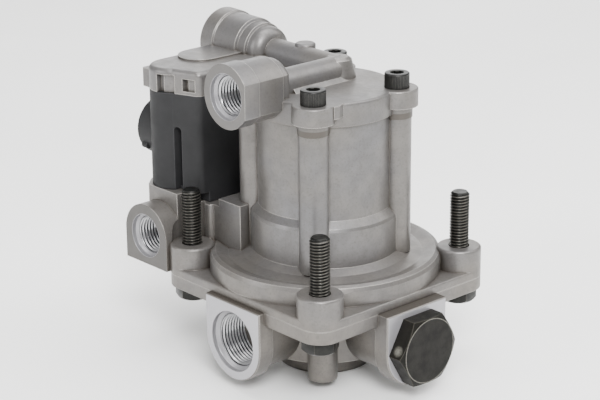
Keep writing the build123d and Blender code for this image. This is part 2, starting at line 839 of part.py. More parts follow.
def exhaust_flap():
    foot = -guide_bottom_drop - flap_thickness
    disc = turned([(0, foot), (flap_radius - 0.6, foot), (flap_radius, foot + 0.5),
                   (flap_radius, foot + flap_thickness), (0, foot + flap_thickness)])
    stem = upright(flap_stem_radius - 0.05, foot, -guide_bottom_drop + spider_thickness)
    head = upright(flap_stem_radius + 0.9, -guide_bottom_drop + spider_thickness,
                   -guide_bottom_drop + spider_thickness + 0.5)
    return disc + stem + head


def module_housing():
    """Moulded body of the solenoid module: hollow, grooved in front, with a round socket at its side."""
    outer = Pos(0, 0, module_foot) * extrude(module_plan(), module_top - module_foot)
    front = tower_y - tower_radius
    half = groove_width / 2
    groove = block(groove_left, groove_left + groove_width, front, front + groove_depth + 3,
                   module_foot - 1, groove_top - half)
    groove += along_y(half, front, front + groove_depth + 3, groove_left + half, groove_top - half)
    room = Pos(0, 0, bobbin_foot) * extrude(room_plan(), module_top)
    skirt = block(skirt_left, module_right, module_front_right + skirt_front, module_back - skirt_back,
                  tray_middle, module_foot)
    socket_end = -connector_reach + connector_depth + connector_floor
    socket = along_x(connector_radius, -connector_reach, socket_end, connector_y, connector_z)
    for k in range(3):
        turn = radians(90 + k * 120)
        y = connector_y + connector_radius * cos(turn)
        z = connector_z + connector_radius * sin(turn)
        socket += along_x(1.5, -connector_reach + 2.2, -connector_reach + 5.2, y, z)
    body = outer - groove - room + socket + skirt
    body -= along_x(connector_bore, -connector_reach - 1, -connector_reach + connector_depth,
                    connector_y, connector_z)
    body -= module_lower_seal() + module_upper_seal()
    for x, y in solenoid_places():
        body -= upright(tube_radius + 0.1, module_foot - 1, bobbin_foot + 1, x, y)
    for y, z in pin_places():
        body -= along_x(pin_radius, -connector_reach, socket_end + 1, y, z)
    return body


def solenoid_places():
    return [(solenoid_x, solenoid_front_y), (solenoid_x, solenoid_front_y + solenoid_pitch)]


def pin_places():
    side = pin_circle / 2 * sin(radians(45))
    return [(connector_y + sy * side, connector_z + sz * side) for sy in (1, -1) for sz in (1, -1)]


def connector_pins():
    floor = -connector_reach + connector_depth
    end = floor + connector_floor
    pins = [along_x(pin_radius, floor - pin_length, end, y, z) for y, z in pin_places()]
    return Compound(children=[fillet(p.edges().group_by(Axis.X)[0], 0.3) for p in pins])


def bobbin(x, y):
    """Flanged coil former."""
    foot = bobbin_foot
    head = bobbin_head
    wall = bobbin_core_radius
    former = turned([(tube_radius, foot), (bobbin_radius, foot), (bobbin_radius, foot + bobbin_flange),
                     (wall, foot + bobbin_flange), (wall, head - bobbin_flange),
                     (bobbin_radius, head - bobbin_flange), (bobbin_radius, head), (tube_radius, head)])
    return Pos(x, y, 0) * former


def winding(x, y):
    """Copper winding, drawn as one sleeve with a slightly crowned outside."""
    low = bobbin_foot + bobbin_flange
    high = bobbin_head - bobbin_flange
    inner = bobbin_core_radius
    outer = bobbin_radius - 0.8
    return Pos(x, y, 0) * turned([(inner, low), (outer - 0.3, low), (outer, low + 2), (outer, high - 2),
                                  (outer - 0.3, high), (inner, high)])


def guide_tube(x, y):
    """Thin tube that stands round the nozzle, with a notch through its foot for the air."""
    outer = tube_radius - 0.02
    wall = upright(outer, tray_floor, bobbin_head, x, y)
    wall -= upright(tube_radius - tube_wall, tray_floor - 1, bobbin_head + 1, x, y)
    return wall - block(x - 6, x + 6, y - 1, y + 1, tray_floor - 1, tray_floor + 2)


def fixed_core(x, y):
    """Core in the tube's upper half; its head lies on the yoke plate."""
    seat = bobbin_head + yoke_thickness
    core = upright(tube_radius - tube_wall - 0.02, core_foot, seat, x, y)
    return core + upright(tube_radius + core_head_overhang, seat, seat + core_head_height, x, y)


def yoke_plate():
    """Steel plate across both coils."""
    plan = SlotCenterToCenter(solenoid_pitch, 2 * yoke_half_width, rotation=90)
    middle = solenoid_front_y + solenoid_pitch / 2
    plate = Pos(solenoid_x, middle, bobbin_head) * extrude(plan, yoke_thickness)
    for x, y in solenoid_places():
        plate -= upright(tube_radius - 0.02, bobbin_head - 1, bobbin_head + yoke_thickness + 1, x, y)
    return plate


def armature(x, y):
    """Plunger with an air slot down each side and a spring pocket in its head."""
    body = upright(armature_radius, armature_foot, armature_head, x, y)
    body = chamfer(body.edges().group_by(Axis.Z)[0], 0.6)
    for side in (-1, 1):
        slot_y = y + side * armature_radius
        body -= block(x - 0.6, x + 0.6, slot_y - 0.7, slot_y + 0.7, armature_foot - 1, armature_head + 1)
    pocket = armature_spring_radius + armature_wire
    return body - upright(pocket, armature_head - spring_pocket, armature_head + 1, x, y)


def armature_spring(x, y):
    return spring(armature_spring_radius, armature_wire, armature_head - spring_pocket, core_foot, 5, x, y)


def nozzle(x, y):
    """Seat that the armature closes, pressed into the tray's floor."""
    base = tray_floor
    spigot = nozzle_radius - nozzle_step
    top = base + nozzle_height
    foot = base - nozzle_seat_depth
    body = turned([(nozzle_bore, foot), (spigot, foot), (spigot, base), (nozzle_radius, base),
                   (nozzle_radius, base + 1.5), (nozzle_bore + 1.0, top - 0.6),
                   (nozzle_bore + 0.7, top), (nozzle_bore, top)])
    return Pos(x, y, 0) * body


def flange_bolts():
    """Hexagon bolts from below, their shanks standing proud of the bosses as studs."""
    solids = []
    for x, y in STUDS:
        head = Pos(x, y, lower_flange_foot - bolt_head_height) * extrude(
            RegularPolygon(bolt_head_flats / 2, 6, major_radius=False), bolt_head_height)
        cone = turned([(0, 0), (bolt_head_flats / 2 * 0.95, 0), (bolt_head_flats / 2 * 1.16, 1.1),
                       (bolt_head_flats / 2 * 1.16, bolt_head_height), (0, bolt_head_height)])
        head &= Pos(x, y, lower_flange_foot - bolt_head_height) * cone
        shank = upright(bolt_shank_diameter / 2, lower_flange_foot - 0.5, 0.5, x, y)
        stud = upright(bolt_radius, 0, stud_length, x, y)
        solids.append(head + shank + chamfer(stud.edges().group_by(Axis.Z)[-1], stud_tip_chamfer))
    return Compound(children=solids)


def cap_screws():
    """Socket head screws down through the lid's lugs into the columns."""
    solids = []
    for x, y in SCREWS:
        top = seat_height + screw_head_height
        head = upright(screw_head_diameter / 2, seat_height, top, x, y)
        head = fillet(head.edges().group_by(Axis.Z)[-1], 0.6)
        socket = Pos(x, y, top - screw_socket_depth) * extrude(
            RegularPolygon(screw_socket_flats / 2, 6, major_radius=False), screw_socket_depth + 1)
        shank = upright(screw_radius, seat_height - screw_length, seat_height + 0.5, x, y)
        solids.append(head + shank - socket)
    return Compound(children=solids)


def port_plug():
    """Hexagon plug of the right delivery port, hollow behind, with its front face chamfered to a circle."""
    flat = plug_flats / 2
    hexagon = Rot(0, 0, 90) * extrude(RegularPolygon(flat, 6, major_radius=False), plug_head)
    corner = flat * 1.16
    cone = turned([(0, 0), (corner, 0), (corner, plug_head - 1.2), (flat * 0.98, plug_head), (0, plug_head)])
    thread = large_thread / 2 - thread_slack
    shank = upright(thread, -plug_shank, 0.5)
    shank -= upright(thread - plug_wall, -plug_shank - 1, -plug_shank + plug_recess)
    neck = outer_groove(plug_seal_reach, plug_seal_section, -plug_seal_section / 2)
    return to_plus_x(delivery_face, 0, port_z) * ((hexagon & cone) + shank - neck)


def plug_seal():
    ring = outer_seal(plug_seal_reach, plug_seal_section, -plug_seal_section / 2)
    return to_plus_x(delivery_face, 0, port_z) * ring


def nodes():
    made = {
        "upper_housing": upper_housing(), "lower_housing": lower_housing(), "cap": cap(),
        "cap_seal": cap_seal(), "housing_seal": housing_seal(),
        "control_piston": control_piston(), "control_piston_seal": control_piston_seal(),
        "relay_piston": relay_piston(), "relay_piston_seal": relay_piston_seal(),
        "relay_stem_seal": relay_stem_seal(), "return_spring": return_spring(),
        "inlet_valve": inlet_valve(), "valve_disc": valve_disc(), "valve_spring": valve_spring(),
        "valve_guide": valve_guide(), "guide_seal": guide_seal(), "valve_tube_seal": valve_tube_seal(),
        "retaining_ring": retaining_ring(), "exhaust_flap": exhaust_flap(),
        "flange_bolts": flange_bolts(), "cap_screws": cap_screws(),
        "port_plug": port_plug(), "plug_seal": plug_seal(),
        "module_housing": module_housing(), "connector_pins": connector_pins(),
        "module_lower_seal": module_lower_seal(), "module_upper_seal": module_upper_seal(),
        "yoke_plate": yoke_plate(),
    }
    for name, (x, y) in zip(("front", "rear"), solenoid_places()):
        made["bobbin_" + name] = bobbin(x, y)
        made["winding_" + name] = winding(x, y)
        made["guide_tube_" + name] = guide_tube(x, y)
        made["fixed_core_" + name] = fixed_core(x, y)
        made["armature_" + name] = armature(x, y)
        made["armature_spring_" + name] = armature_spring(x, y)
        made["nozzle_" + name] = nozzle(x, y)
    return made


os.makedirs("parts", exist_ok=True)
for name, solid in nodes().items():
    export_step(solid, "parts/" + name + ".step")
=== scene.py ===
import bpy
import json
import math
from mathutils import Matrix, Vector


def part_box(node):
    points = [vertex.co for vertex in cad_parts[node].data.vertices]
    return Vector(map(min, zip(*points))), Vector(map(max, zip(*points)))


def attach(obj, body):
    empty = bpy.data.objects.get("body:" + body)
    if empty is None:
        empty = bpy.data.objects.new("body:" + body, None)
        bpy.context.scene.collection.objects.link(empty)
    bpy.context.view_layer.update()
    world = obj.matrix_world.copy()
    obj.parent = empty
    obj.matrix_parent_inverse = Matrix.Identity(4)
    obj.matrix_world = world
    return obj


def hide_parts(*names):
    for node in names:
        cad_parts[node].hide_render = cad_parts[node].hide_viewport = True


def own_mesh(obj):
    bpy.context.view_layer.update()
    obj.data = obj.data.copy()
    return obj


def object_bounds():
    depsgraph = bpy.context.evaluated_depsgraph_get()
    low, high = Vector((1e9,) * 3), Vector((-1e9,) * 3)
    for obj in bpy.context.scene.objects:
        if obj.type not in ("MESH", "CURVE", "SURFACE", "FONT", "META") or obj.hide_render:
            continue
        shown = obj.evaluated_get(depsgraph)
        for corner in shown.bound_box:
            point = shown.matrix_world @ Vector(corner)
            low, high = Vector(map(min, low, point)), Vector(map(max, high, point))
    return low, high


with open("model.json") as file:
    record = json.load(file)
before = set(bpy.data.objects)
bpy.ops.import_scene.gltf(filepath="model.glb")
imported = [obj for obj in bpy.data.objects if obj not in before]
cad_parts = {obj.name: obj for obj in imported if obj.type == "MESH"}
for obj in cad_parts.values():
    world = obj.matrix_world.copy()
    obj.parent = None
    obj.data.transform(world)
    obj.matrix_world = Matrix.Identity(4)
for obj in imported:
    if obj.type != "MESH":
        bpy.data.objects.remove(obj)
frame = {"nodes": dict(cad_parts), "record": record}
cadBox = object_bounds()
nodes = frame["nodes"]
mounts = {m["name"]: m for m in frame["record"]["mounts"]}
print("frame loaded:", len(nodes), "nodes")

mm = 0.001


def deselectAll():
    if bpy.context.object and bpy.context.object.mode != "OBJECT":
        bpy.ops.object.mode_set(mode="OBJECT")
    bpy.ops.object.select_all(action="DESELECT")


def makeOnly(piece):
    deselectAll()
    piece.select_set(True)
    bpy.context.view_layer.objects.active = piece


def applyModifier(piece, kind, settings):
    makeOnly(piece)
    modifier = piece.modifiers.new("step", kind)
    for name, value in settings.items():
        setattr(modifier, name, value)
    bpy.ops.object.modifier_apply(modifier=modifier.name)


def settle(piece):
    # puts the object's place and turn into its mesh
    makeOnly(piece)
    bpy.ops.object.transform_apply(location=True, rotation=True, scale=True)
    return piece


def selectVertices(piece, wanted):
    makeOnly(piece)
    bpy.ops.object.mode_set(mode="EDIT")
    bpy.ops.mesh.select_mode(type="VERT")
    bpy.ops.mesh.select_all(action="DESELECT")
    bpy.ops.object.mode_set(mode="OBJECT")
    for vertex in piece.data.vertices:
        vertex.select = wanted(vertex.co)
    bpy.ops.object.mode_set(mode="EDIT")


def closeEnd(piece, height, slack):
    # one flat face over the open loop at this height
    selectVertices(piece, lambda co: abs(co.z - height) < slack)
    bpy.ops.mesh.edge_face_add()
    bpy.ops.object.mode_set(mode="OBJECT")


def faceOut(piece):
    makeOnly(piece)
    bpy.ops.object.mode_set(mode="EDIT")
    bpy.ops.mesh.select_all(action="SELECT")
    bpy.ops.mesh.normals_make_consistent(inside=False)
    bpy.ops.object.mode_set(mode="OBJECT")


def mergeDoubles(piece):
    makeOnly(piece)
    bpy.ops.object.mode_set(mode="EDIT")
    bpy.ops.mesh.select_all(action="SELECT")
    bpy.ops.mesh.remove_doubles(threshold=0.001 * mm)
    bpy.ops.object.mode_set(mode="OBJECT")


def copyTo(piece, matrix, name):
    twin = piece.copy()
    twin.data = piece.data.copy()
    twin.name = name
    twin.data.transform(matrix)
    bpy.context.scene.collection.objects.link(twin)
    return twin


def joinAll(pieces, name):
    deselectAll()
    for piece in pieces:
        piece.select_set(True)
    bpy.context.view_layer.objects.active = pieces[0]
    bpy.ops.object.join()
    pieces[0].name = name
    pieces[0].data.name = name
    return pieces[0]


def cutWith(piece, tool, operation):
    applyModifier(piece, "BOOLEAN", {"object": tool, "operation": operation, "solver": "EXACT"})
    bpy.data.objects.remove(tool, do_unlink=True)


def tubeOfRings(sides, rings, step):
    # open tube, one ring of faces stacked upwards, ready to be shaped
    deselectAll()
    bpy.ops.mesh.primitive_cylinder_add(vertices=sides, radius=mm, depth=step,
                                        end_fill_type="NOTHING", location=(0, 0, step / 2))
    tube = settle(bpy.context.object)
    applyModifier(tube, "ARRAY", {"count": rings, "use_relative_offset": False, "use_constant_offset": True,
                                  "constant_offset_displace": (0, 0, step), "use_merge_vertices": True,
                                  "merge_threshold": step / 10})
    return tube


# a metric thread's flat crest and its flank, as shares of half a pitch
threadShape = {"crest": 0.14, "flank": 0.62}


def threadRadius(angle, height, pitch, crest, root):
    # flat crest, straight flanks, flat root, climbing one pitch a turn
    phase = (height / pitch - angle / (2 * math.pi)) % 1
    fromCrest = abs(phase - 0.5) * 2
    flank = min(max((fromCrest - threadShape["crest"]) / threadShape["flank"], 0), 1)
    return crest + (root - crest) * flank


def shapeThread(tube, pitch, crest, root, limit):
    # limit gives the largest or smallest radius at a height, for the chamfered ends
    outside = crest > root
    for vertex in tube.data.vertices:
        angle = math.atan2(vertex.co.y, vertex.co.x)
        radius = threadRadius(angle, vertex.co.z, pitch, crest, root)
        bound = limit(vertex.co.z)
        radius = min(radius, bound) if outside else max(radius, bound)
        vertex.co.x = radius * math.cos(angle)
        vertex.co.y = radius * math.sin(angle)


# flange bolts: hexagon heads under the flange, long threaded ends standing up
boltLook = {"pitch": 1.25 * mm, "crest": 4.0 * mm, "root": 3.27 * mm, "sides": 40, "ringsPerPitch": 8,
            "tipChamfer": 1.0 * mm, "threadBelow": 2.5 * mm, "shank": 3.6 * mm, "flats": 13.0 * mm,
            "headHeight": 5.3 * mm, "headFoot": 6.17 * mm, "headSlope": 1.24, "headBevel": 0.18 * mm,
            "overlap": 1.5 * mm, "corners": ((1, -1, 0), (1, 1, 0.7), (-1, 1, 2.1), (-1, -1, 3.9))}


def buildBolt():
    low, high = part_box("flange_bolts")
    top = high[2]
    step = boltLook["pitch"] / boltLook["ringsPerPitch"]
    start = -boltLook["threadBelow"]
    rings = round((top - start) / step)
    step = (top - start) / rings
    stud = tubeOfRings(boltLook["sides"], rings, step)
    stud.data.transform(Matrix.Translation((0, 0, start)))
    crest = boltLook["crest"]
    chamferFoot = top - boltLook["tipChamfer"]
    shapeThread(stud, boltLook["pitch"], crest, boltLook["root"],
                lambda z: crest - max(z - chamferFoot, 0))
    closeEnd(stud, start, step / 3)
    closeEnd(stud, top, step / 3)
    faceOut(stud)

    headTop = low[2] + boltLook["headHeight"]
    bpy.ops.mesh.primitive_cylinder_add(vertices=48, radius=boltLook["shank"],
                                        depth=start - headTop + boltLook["overlap"],
                                        location=(0, 0, (start + headTop) / 2))
    shank = settle(bpy.context.object)
    deselectAll()
    middle = low[2] + boltLook["headHeight"] / 2
    bpy.ops.mesh.primitive_cylinder_add(vertices=6, radius=boltLook["flats"] / 2 / math.cos(math.pi / 6),
                                        depth=boltLook["headHeight"], location=(0, 0, middle),
                                        rotation=(0, 0, math.pi / 6))
    head = settle(bpy.context.object)
    deselectAll()
    wide = boltLook["headFoot"] + boltLook["headHeight"] * boltLook["headSlope"]
    bpy.ops.mesh.primitive_cone_add(vertices=96, radius1=boltLook["headFoot"], radius2=wide,
                                    depth=boltLook["headHeight"], location=(0, 0, middle))
    cutWith(head, settle(bpy.context.object), "INTERSECT")
    applyModifier(head, "BEVEL", {"width": boltLook["headBevel"], "segments": 2, "limit_method": "ANGLE",
                                  "angle_limit": math.radians(25)})
    return joinAll([stud, shank, head], "bolt")


def buildFlangeBolts():
    bolt = buildBolt()
    half = mounts["studs"]["dims"]["spacing_x_mm"] / 2 * mm
    bolts = []
    for sideX, sideY, turn in boltLook["corners"]:
        place = Matrix.Translation((sideX * half, sideY * half, 0))
        bolts.append(copyTo(bolt, place @ Matrix.Rotation(turn, 4, "Z"), "stud"))
    bpy.data.objects.remove(bolt, do_unlink=True)
    piece = joinAll(bolts, "flangeBolts")
    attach(piece, "root")
    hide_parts("flange_bolts")
    return piece


# cap screws: knurled heads with a hexagon socket
screwLook = {"circle": 57.8 * mm, "turn": -6.5, "headRadius": 5.0 * mm, "headHeight": 6.0 * mm, "sides": 96,
             "knurlIn": 0.962, "knurlLow": 0.5 * mm, "knurlHigh": 5.0 * mm, "knurlSlack": 0.05 * mm,
             "edge": 0.55 * mm, "socketFlats": 5.0 * mm, "socketDepth": 3.0 * mm, "dishFoot": 2.3 * mm,
             "dishTop": 3.5 * mm, "dishDepth": 1.2 * mm, "dishLift": 0.05 * mm, "shank": 2.95 * mm,
             "overlap": 0.4 * mm, "firstTurn": 0.4, "nextTurn": 1.9}


def buildCapScrew():
    low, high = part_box("cap_screws")
    top = high[2]
    foot = top - screwLook["headHeight"]
    deselectAll()
    bpy.ops.mesh.primitive_cylinder_add(vertices=screwLook["sides"], radius=screwLook["headRadius"],
                                        depth=screwLook["headHeight"], location=(0, 0, (foot + top) / 2))
    head = settle(bpy.context.object)
    selectVertices(head, lambda co: co.z > top - 0.1 * mm)
    bpy.ops.mesh.bevel(offset=screwLook["edge"], segments=3, affect="EDGES")
    for height in (screwLook["knurlLow"], screwLook["knurlHigh"]):
        bpy.ops.mesh.select_all(action="SELECT")
        bpy.ops.mesh.bisect(plane_co=(0, 0, foot + height), plane_no=(0, 0, 1))
    bpy.ops.object.mode_set(mode="OBJECT")
    stripAngle = 2 * math.pi / screwLook["sides"]

    def inGroove(co):
        strip = round((math.atan2(co.x, co.y) % (2 * math.pi)) / stripAngle)
        slack = screwLook["knurlSlack"]
        inside = screwLook["knurlLow"] - slack < co.z - foot < screwLook["knurlHigh"] + slack
        return strip % 2 == 0 and inside

    selectVertices(head, inGroove)
    shrink = screwLook["knurlIn"]
    bpy.ops.transform.resize(value=(shrink, shrink, 1), center_override=(0, 0, foot))
    bpy.ops.object.mode_set(mode="OBJECT")

    deselectAll()
    depth = screwLook["socketDepth"]
    bpy.ops.mesh.primitive_cylinder_add(vertices=6, depth=2 * depth, location=(0, 0, top),
                                        radius=screwLook["socketFlats"] / 2 / math.cos(math.pi / 6))
    cutWith(head, settle(bpy.context.object), "DIFFERENCE")
    deselectAll()
    bpy.ops.mesh.primitive_cone_add(vertices=64, radius1=screwLook["dishFoot"], radius2=screwLook["dishTop"],
                                    depth=screwLook["dishDepth"],
                                    location=(0, 0, top + screwLook["dishLift"]))
    cutWith(head, settle(bpy.context.object), "DIFFERENCE")

    deselectAll()
    overlap = screwLook["overlap"]
    bpy.ops.mesh.primitive_cylinder_add(vertices=32, radius=screwLook["shank"], depth=foot - low[2] + overlap,
                                        location=(0, 0, (foot + low[2]) / 2 + overlap / 2))
    shank = settle(bpy.context.object)
    return joinAll([head, shank], "capScrew")


def buildCapScrews():
    screw = buildCapScrew()
    copies = []
    for k in range(4):
        angle = math.radians(k * 90 - 45 + screwLook["turn"])
        reach = screwLook["circle"] / 2
        place = Matrix.Translation((reach * math.cos(angle), reach * math.sin(angle), 0))
        turn = screwLook["firstTurn"] + screwLook["nextTurn"] * k
        copies.append(copyTo(screw, place @ Matrix.Rotation(turn, 4, "Z"), "screw"))
    bpy.data.objects.remove(screw, do_unlink=True)
    piece = joinAll(copies, "capScrews")
    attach(piece, "root")
    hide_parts("cap_screws")
    return piece


# cut threads inside the ports
portLook = {"pitch": 1.5 * mm, "threadDepth": 0.92 * mm, "sides": 72, "ringsPerPitch": 8, "wall": 0.03 * mm,
            "leadIn": 0.7 * mm, "ports": ["supply_port", "left_delivery_port", "front_control_port",
                                          "side_control_port", "side_port"]}


def buildPortThread(portName):
    mount = mounts[portName]
    radius = mount["dims"]["r_mm"] * mm
    length = mount["dims"]["length_mm"] * mm
    step = portLook["pitch"] / portLook["ringsPerPitch"]
    rings = round(length / step)
    step = length / rings
    tube = tubeOfRings(portLook["sides"], rings, step)
    root = radius - 3 * portLook["wall"]
    crest = radius - portLook["threadDepth"]
    leadIn = length - portLook["leadIn"]
    shapeThread(tube, portLook["pitch"], crest, root, lambda z: crest + max(z - leadIn, 0))

    # both open loops are drawn out to the bore's wall and joined by an outer skin
    outer = radius - portLook["wall"]
    ends = (0, length)
    selectVertices(tube, lambda co: min(abs(co.z - end) for end in ends) < step / 3)
    bpy.ops.mesh.select_mode(type="EDGE")
    bpy.ops.mesh.extrude_edges_move()
    bpy.ops.object.mode_set(mode="OBJECT")
    for vertex in tube.data.vertices:
        if vertex.select:
            flat = Vector((vertex.co.x, vertex.co.y)).normalized() * outer
            vertex.co.x, vertex.co.y = flat
    bpy.ops.object.mode_set(mode="EDIT")
    bpy.ops.mesh.bridge_edge_loops()
    bpy.ops.object.mode_set(mode="OBJECT")
    faceOut(tube)

    axis = Vector(mount["axis"])
    turn = Vector((0, 0, 1)).rotation_difference(axis).to_matrix().to_4x4()
    start = Vector(mount["pos_m"]) - axis * length / 2
    tube.data.transform(Matrix.Translation(start) @ turn)
    tube.name = portName + "_thread"
    tube.data.name = tube.name
    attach(tube, "root")
    return tube


def buildCoils():
    # a spring shortens towards its fixed end by its joint's travel, which its own solid doesn't show; this
    # copy, with doubled vertices merged, doesn't show it either
    coils = []
    for joint in frame["record"]["behaviour"]["joints"]:
        for spring in joint.get("deforming_nodes") or []:
            coil = bpy.data.objects.new(spring["node"] + "Coil", nodes[spring["node"]].data.copy())
            bpy.context.scene.collection.objects.link(coil)
            mergeDoubles(coil)
            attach(coil, "root")
            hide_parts(spring["node"])
            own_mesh(coil)
            coils.append(coil)
    return coils


flangeBolts = buildFlangeBolts()
capScrews = buildCapScrews()
portThreads = [buildPortThread(name) for name in portLook["ports"]]
coils = buildCoils()
for piece in [flangeBolts, capScrews] + portThreads:
    makeOnly(piece)
    bpy.ops.object.shade_smooth_by_angle(angle=math.radians(30))
print("pieces made:", flangeBolts.name, capScrews.name, len(portThreads), "port threads,",
      len(coils), "springs")


def linearHex(code):
    values = [int(code[i:i + 2], 16) / 255 for i in (1, 3, 5)]
    return [v / 12.92 if v <= 0.04045 else ((v + 0.055) / 1.055) ** 2.4 for v in values] + [1.0]


def addNode(tree, kind, settings=None, links=None, output=0):
    # adds a node, sets and links its inputs by name or number, and gives back one of its outputs
    node = tree.nodes.new("ShaderNode" + kind)
    for name, value in (settings or {}).items():
        if isinstance(name, int) or name in node.inputs:
            node.inputs[name].default_value = value
        else:
            setattr(node, name, value)
    for name, socket in (links or {}).items():
        tree.links.new(socket, node.inputs[name])
    return node.outputs[output] if node.outputs else node


def perMetre(size):
    # texture scale that makes one feature this many millimetres wide
    return 1000 / size


def startMaterial(name, look):
    material = bpy.data.materials.new(name)
    material.use_nodes = True
    tree = material.node_tree
    tree.nodes.clear()
    shader = addNode(tree, "BsdfPrincipled", {
        "Base Color": linearHex(look["base"]), "Roughness": look["roughness"], "Metallic": look["metallic"],
        "Specular IOR Level": look.get("specular", 0.5)}).node
    addNode(tree, "OutputMaterial", links={"Surface": shader.outputs[0]})
    place = addNode(tree, "TexCoord", output="Object")
    return material, tree, shader, place


# limits of the masks: cosines from flat to sharp, and shares of open sky for the others
maskLook = {"flat": 0.985, "sharp": 0.88, "closed": 0.6, "open": 0.85, "skyReach": 3, "samples": 6,
            "creaseSamples": 8}


def patchMask(tree, place, size, low=0.36, high=0.66):
    # soft-edged patches of this size in millimetres: 1 on them and 0 between them
    field = addNode(tree, "TexNoise", {"Scale": perMetre(size), "Detail": 3, "Roughness": 0.62},
                    {"Vector": place})
    return addNode(tree, "MapRange", {"From Min": low, "From Max": high}, {"Value": field})


def edgeMask(tree, width):
    # 1 along outer edges, where a rounded normal leans away from the true one, for the painted edge
    # highlights; inner corners stay 0
    bare = addNode(tree, "NewGeometry", output="Normal")
    leaning = addNode(tree, "Bevel", {"samples": maskLook["samples"], "Radius": width})
    facing = addNode(tree, "VectorMath", {"operation": "DOT_PRODUCT"}, {0: leaning, 1: bare}, "Value")
    leans = addNode(tree, "MapRange", {"From Min": maskLook["flat"], "From Max": maskLook["sharp"]},
                    {"Value": facing})
    openness = addNode(tree, "AmbientOcclusion", {"samples": maskLook["samples"],
                                                  "Distance": maskLook["skyReach"] * width}, output="AO")
    outer = addNode(tree, "MapRange", {"From Min": maskLook["closed"], "From Max": maskLook["open"]},
                    {"Value": openness})
    return addNode(tree, "Math", {"operation": "MULTIPLY"}, {0: leans, 1: outer})


def creaseMask(tree, reach, opened=0.62, closed=0.2):
    # 1 deep in corners, where dirt and blasting dust stay and where shade is painted; opened and closed are
    # the shares of sky at 0 and 1
    openness = addNode(tree, "AmbientOcclusion", {"samples": maskLook["creaseSamples"], "Distance": reach},
                       output="AO")
    return addNode(tree, "MapRange", {"From Min": opened, "From Max": closed}, {"Value": openness})


def layCoats(tree, base, coats):
    # lays each colour over what is under it, as far as its mask and its share say
    under = None
    for mask, code, share in coats:
        amount = addNode(tree, "Math", {"operation": "MULTIPLY", 1: share}, {0: mask})
        settings = {"data_type": "RGBA", 7: linearHex(code)}
        links = {0: amount}
        if under is None:
            settings[6] = linearHex(base)
        else:
            links[6] = under
        under = addNode(tree, "Mix", settings, links, 2)
    return under


def finishSurface(tree, shader, look, colour, grain, gloss):
    # links the colour, an uneven roughness and a fine relief over softened edges
    tree.links.new(colour, shader.inputs["Base Color"])
    uneven = addNode(tree, "MapRange", {"To Min": look["roughness"] - look["uneven"],
                                        "To Max": look["roughness"] + look["uneven"]}, {"Value": gloss})
    tree.links.new(uneven, shader.inputs["Roughness"])
    soft = addNode(tree, "Bevel", {"samples": maskLook["samples"], "Radius": look["soft"]})
    relief = addNode(tree, "Bump", {"Strength": look["bump"], "Distance": look["depth"]},
                     {"Height": grain, "Normal": soft})
    tree.links.new(relief, shader.inputs["Normal"])


def portTurning(tree, place, port):
    # masks of the port's mouth and of its flat face, and the distance from its axis
    height = addNode(tree, "VectorMath", {"operation": "DOT_PRODUCT", 1: port["axis"]}, {0: place}, "Value")
    across = addNode(tree, "VectorMath", {"operation": "MULTIPLY", 1: port["across"]}, {0: place})
    radius = addNode(tree, "VectorMath", {"operation": "DISTANCE", 1: port["centre"]}, {0: across}, "Value")
    inside = addNode(tree, "Math", {"operation": "LESS_THAN", 1: port["mouth"]}, {0: radius})
    pastStart = addNode(tree, "Math", {"operation": "GREATER_THAN", 1: port["start"]}, {0: height})
    mouth = addNode(tree, "Math", {"operation": "MULTIPLY"}, {0: inside, 1: pastStart})
    near = addNode(tree, "Math", {"operation": "LESS_THAN", 1: port["reach"]}, {0: radius})
    atFace = addNode(tree, "Math", {"operation": "GREATER_THAN", 1: port["face"]}, {0: height})
    face = addNode(tree, "Math", {"operation": "MULTIPLY"}, {0: near, 1: atFace})
    return mouth, face, radius


# a port's flat face along its axis, the width of its mouth, how far round the axis the face goes, and its
# colour, which is milled metal with the face's shade painted in, darker on the control and side ports; turned
# metal starts this far behind the thread's end, below the face and outside the mouth
turnedLook = {"startSlack": 0.4 * mm, "faceSlack": 0.04 * mm, "mouthSlack": 0.15 * mm, "ports": {
    "side_port": {"face": 47.6 * mm, "mouth": 18.4 * mm, "reach": 18.6 * mm, "milledWithShade": "#4d4b49"},
    "supply_port": {"face": 50.4 * mm, "mouth": 25.0 * mm, "reach": 30 * mm, "milledWithShade": "#a4a3a7"},
    "left_delivery_port": {"face": 53.0 * mm, "mouth": 25.0 * mm, "reach": 30 * mm, "milledWithShade": "#a4a3a7"},
    "front_control_port": {"face": 47.6 * mm, "mouth": 18.4 * mm, "reach": 16 * mm, "milledWithShade": "#5f5d5b"},
    "side_control_port": {"face": 75.7 * mm, "mouth": 18.4 * mm, "reach": 16 * mm, "milledWithShade": "#5f5d5b"}}}


def describePort(name, mirrored=False):
    # where a port's turned surfaces lie; mirrored gives the port on the other side, which the plug closes
    mount, turned = mounts[name], turnedLook["ports"][name]
    axis = Vector(mount["axis"])
    outerEnd = Vector(mount["pos_m"]) + axis * mount["dims"]["length_mm"] / 2 * mm
    start = outerEnd.dot(axis) - turnedLook["startSlack"]
    if mirrored:
        axis, outerEnd = -axis, Vector((-outerEnd.x, outerEnd.y, outerEnd.z))
    across = [1.0 - abs(round(a)) for a in axis]
    return {"axis": list(axis), "across": across, "centre": [p * k for p, k in zip(outerEnd, across)],
            "start": start, "face": turned["face"] - turnedLook["faceSlack"],
            "mouth": turned["mouth"] / 2 + turnedLook["mouthSlack"], "reach": turned["reach"],
            "milledWithShade": turned["milledWithShade"]}
